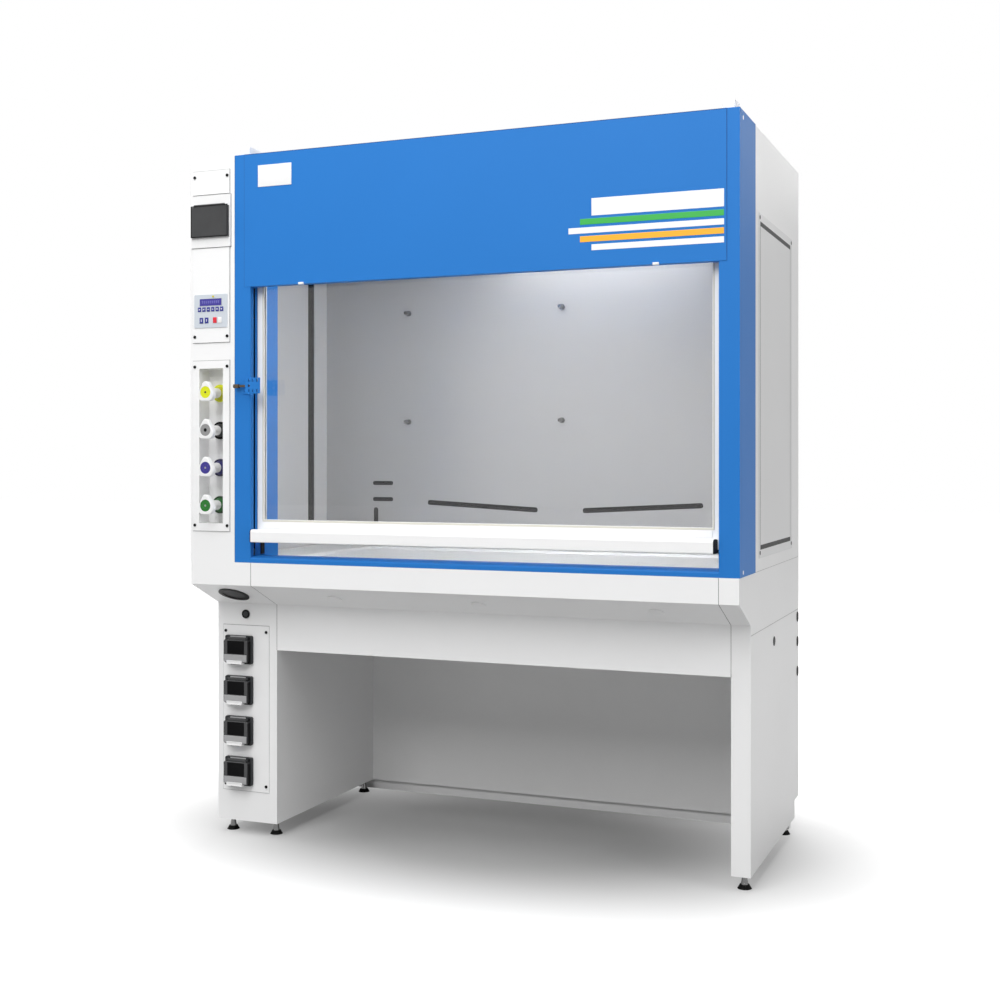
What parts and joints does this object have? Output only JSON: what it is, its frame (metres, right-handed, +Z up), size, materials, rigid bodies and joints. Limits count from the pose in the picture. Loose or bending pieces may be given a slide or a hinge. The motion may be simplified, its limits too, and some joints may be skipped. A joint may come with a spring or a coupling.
{
  "type": "chemical fume hood",
  "caption": "Bench fume hood with a counterbalanced vertical sash, service column with gas valves and lidded sockets, knee space and roof duct spigot.",
  "frame": {"origin": "on the floor, at the middle of the box round the whole hood", "axes": "+X to the right of a user at the front, +Y back from the user, +Z up"},
  "size_m": [1.8, 0.988, 2.309],
  "materials": {
    "blue_paint": "satin powder coat",
    "white_paint": "satin powder coat",
    "grey_panel": "fine brushed",
    "stainless": "fine brushed",
    "sash_white": "white powder coat",
    "bare_aluminium": "as extruded",
    "sash_glass": "clear, toughened",
    "lamp_glass": "frosted",
    "black_plastic": "moulded",
    "dark_plastic": "moulded",
    "smoked_plastic": "smoked, clear",
    "white_plastic": "moulded",
    "grey_plastic": "moulded",
    "keypad_foil": "printed foil",
    "valve_colours": "moulded, one colour to each gas",
    "belt_rubber": "flat, reinforced",
    "foot_rubber": "moulded",
    "chromed": "polished",
    "weight_steel": "grey primer"
  },
  "bodies": {
    "cabinet": {"bench_pedestal": "white_paint", "bench_right_leg": "white_paint", "bench_apron": "white_paint", "bench_knee_back": "white_paint", "bench_rear_bar": "white_paint", "bench_nose_left": "white_paint", "bench_nose_middle": "white_paint", "bench_nose_right": "white_paint", "bench_port_cover": "dark_plastic", "blanking_plugs": "white_plastic", "foot_pads": "foot_rubber", "foot_stems": "chromed", "socket_panel": "white_paint", "socket_boxes": "dark_plastic", "hood_left_post": "blue_paint", "hood_right_post": "blue_paint", "hood_fascia": "blue_paint", "hood_sill": "blue_paint", "hood_roof": "white_paint", "pulley_covers": "white_paint", "chamber_left_wall": "grey_panel", "chamber_right_wall": "grey_panel", "chamber_ceiling": "grey_panel", "chamber_baffle": "stainless", "lattice_pegs": "chromed", "lamp_glass": "lamp_glass", "worktop": "stainless", "side_panel_left": "white_paint", "side_panel_right": "white_paint", "access_panels": "white_paint", "rear_panel": "white_paint", "rear_grommets": "black_plastic", "service_column": "white_paint", "column_front": "white_paint", "column_covers": "white_paint", "keypad": "keypad_foil", "breaker_box": "white_plastic", "breaker_row": "grey_plastic", "valve_panel": "white_paint", "valve_bases": "valve_colours", "sash_guides": "bare_aluminium", "belts": "belt_rubber", "stop_bracket": "blue_paint"},
    "sash": {"sash_frame": "sash_white", "sash_glass": "sash_glass", "sash_handle": "sash_white", "handle_caps": "black_plastic"},
    "counterweights": {"counterweights": "weight_steel"},
    "belt_pulleys": {"belt_pulleys": "bare_aluminium"},
    "belt_idlers": {"belt_idlers": "bare_aluminium"},
    "stop_bolt": {"stop_bolt": "chromed"},
    "breaker_door": {"breaker_door": "smoked_plastic"},
    "socket_lid_1": {"socket_lid_1": "smoked_plastic"},
    "valve_knob_1": {"valve_knob_1": "white_plastic"},
    "socket_lid_2": {"socket_lid_2": "smoked_plastic"},
    "valve_knob_2": {"valve_knob_2": "white_plastic"},
    "socket_lid_3": {"socket_lid_3": "smoked_plastic"},
    "valve_knob_3": {"valve_knob_3": "white_plastic"},
    "socket_lid_4": {"socket_lid_4": "smoked_plastic"},
    "valve_knob_4": {"valve_knob_4": "white_plastic"}
  },
  "joints": [
    {"name": "sash_slide", "type": "slide", "parent": "cabinet", "child": "sash", "axis": [0, 0, 1], "range_m": [-0.04, 0.76]},
    {"name": "counterweight_slide", "type": "slide", "parent": "cabinet", "child": "counterweights", "axis": [0, 0, 1], "range_m": [-0.762, 0.0405]},
    {"name": "pulley_turn", "type": "hinge", "parent": "cabinet", "child": "belt_pulleys", "pos_m": [0.0835, -0.412, 2.204], "axis": [1, 0, 0], "range_deg": [-1455, 80]},
    {"name": "idler_turn", "type": "hinge", "parent": "cabinet", "child": "belt_idlers", "pos_m": [0.0835, -0.412, 0.932], "axis": [1, 0, 0], "range_deg": [-1455, 80]},
    {"name": "stop_bolt_slide", "type": "slide", "parent": "cabinet", "child": "stop_bolt", "axis": [1, 0, 0], "range_m": [0, 0.03]},
    {"name": "breaker_door_hinge", "type": "hinge", "parent": "cabinet", "child": "breaker_door", "pos_m": [-0.8205, -0.469, 2.0695], "axis": [-1, 0, 0], "range_deg": [0, 110]},
    {"name": "socket_lid_1_hinge", "type": "hinge", "parent": "cabinet", "child": "socket_lid_1", "pos_m": [-0.811, -0.322, 0.6555], "axis": [-1, 0, 0], "range_deg": [0, 100]},
    {"name": "socket_lid_2_hinge", "type": "hinge", "parent": "cabinet", "child": "socket_lid_2", "pos_m": [-0.811, -0.322, 0.52083], "axis": [-1, 0, 0], "range_deg": [0, 100]},
    {"name": "socket_lid_3_hinge", "type": "hinge", "parent": "cabinet", "child": "socket_lid_3", "pos_m": [-0.811, -0.322, 0.38616], "axis": [-1, 0, 0], "range_deg": [0, 100]},
    {"name": "socket_lid_4_hinge", "type": "hinge", "parent": "cabinet", "child": "socket_lid_4", "pos_m": [-0.811, -0.322, 0.25149], "axis": [-1, 0, 0], "range_deg": [0, 100]},
    {"name": "valve_knob_1_turn", "type": "hinge", "parent": "cabinet", "child": "valve_knob_1", "pos_m": [-0.8205, -0.458, 1.465], "axis": [0, 1, 0], "range_deg": [0, 270]},
    {"name": "valve_knob_2_turn", "type": "hinge", "parent": "cabinet", "child": "valve_knob_2", "pos_m": [-0.8205, -0.458, 1.34367], "axis": [0, 1, 0], "range_deg": [0, 270]},
    {"name": "valve_knob_3_turn", "type": "hinge", "parent": "cabinet", "child": "valve_knob_3", "pos_m": [-0.8205, -0.458, 1.22234], "axis": [0, 1, 0], "range_deg": [0, 270]},
    {"name": "valve_knob_4_turn", "type": "hinge", "parent": "cabinet", "child": "valve_knob_4", "pos_m": [-0.8205, -0.458, 1.10101], "axis": [0, 1, 0], "range_deg": [0, 270]}
  ],
  "couplings": [
    {"joint": "counterweight_slide", "follows": "sash_slide", "ratio": -1},
    {"joint": "pulley_turn", "follows": "sash_slide", "rad_per_m": -33.333},
    {"joint": "idler_turn", "follows": "sash_slide", "rad_per_m": -33.333}
  ]
}
